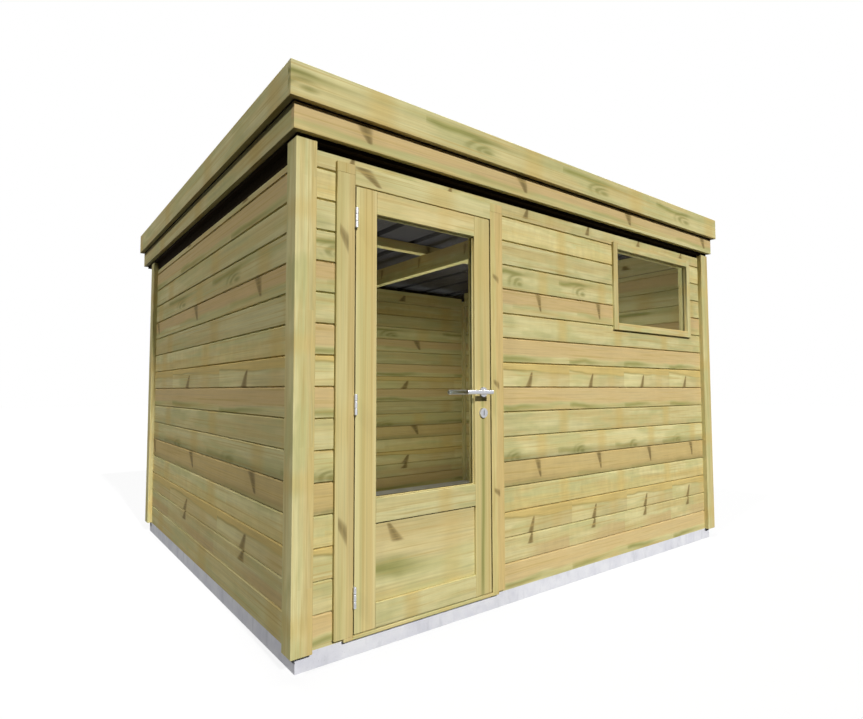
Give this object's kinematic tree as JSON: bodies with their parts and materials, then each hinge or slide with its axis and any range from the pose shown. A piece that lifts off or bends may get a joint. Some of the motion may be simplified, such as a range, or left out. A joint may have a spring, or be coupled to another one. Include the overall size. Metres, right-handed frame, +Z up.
{
  "type": "garden shed",
  "caption": "Flat-roofed wooden garden shed on a concrete plinth, with boarded walls between corner posts, a glazed door that swings outward and a fixed window high beside it.",
  "frame": {"origin": "centre of the plinth's underside", "axes": "+Z up, -Y out of the front with the door, +X to the right along the front"},
  "size_m": [3.564, 3.249, 2.487],
  "materials": {
    "concrete": "cast concrete, light grey",
    "timber": "planed softwood, pressure treated, pale green yellow",
    "door_timber": "planed softwood, pressure treated, pale green yellow",
    "rim_timber": "rough softwood, dark, in the shade of the fascia",
    "roof_steel": "coil coated, dark grey, matt",
    "hinge_steel": "zinc plated",
    "handle_metal": "satin anodised",
    "glass": "clear float glass"
  },
  "bodies": {
    "shed": {"base_slab": "concrete", "post_front_left": "timber", "post_front_right": "timber", "post_back_left": "timber", "post_back_right": "timber", "front_wall_left": "timber", "front_wall_over_door": "timber", "front_wall_middle": "timber", "front_wall_under_window": "timber", "front_wall_over_window": "timber", "front_wall_right": "timber", "left_wall": "timber", "right_wall": "timber", "back_wall": "timber", "door_jamb_hinge": "door_timber", "door_jamb_lock": "door_timber", "door_head": "door_timber", "door_sill": "door_timber", "door_stops_sides": "door_timber", "door_stops_ends": "door_timber", "window_frame": "timber", "window_glass": "glass", "rims_front_back": "rim_timber", "rims_sides": "rim_timber", "roof_beam": "timber", "roof_purlin": "timber", "roof_sheet": "roof_steel", "fascia_low_front": "timber", "fascia_low_back": "timber", "fascia_low_left": "timber", "fascia_low_right": "timber", "fascia_top_front": "timber", "fascia_top_back": "timber", "fascia_top_left": "timber", "fascia_top_right": "timber", "hinges_frame": "hinge_steel"},
    "door": {"door_stile_hinge": "door_timber", "door_stile_lock": "door_timber", "door_rail_top": "door_timber", "door_rail_middle": "door_timber", "door_rail_bottom": "door_timber", "door_panel": "door_timber", "door_glass": "glass", "hinges_door": "hinge_steel", "door_roses": "handle_metal"},
    "lever": {"lever_handle": "handle_metal"}
  },
  "joints": [
    {"name": "door_hinge", "type": "hinge", "parent": "shed", "child": "door", "pos_m": [-1.4425, -1.474, 1], "axis": [0, 0, -1], "range_deg": [0, 165]},
    {"name": "lever_turn", "type": "hinge", "parent": "door", "child": "lever", "pos_m": [-0.684, -1.44, 1.13], "axis": [0, -1, 0], "range_deg": [0, 45], "stiffness_Nm_per_rad": 1.5, "springref_deg": -34.38}
  ]
}
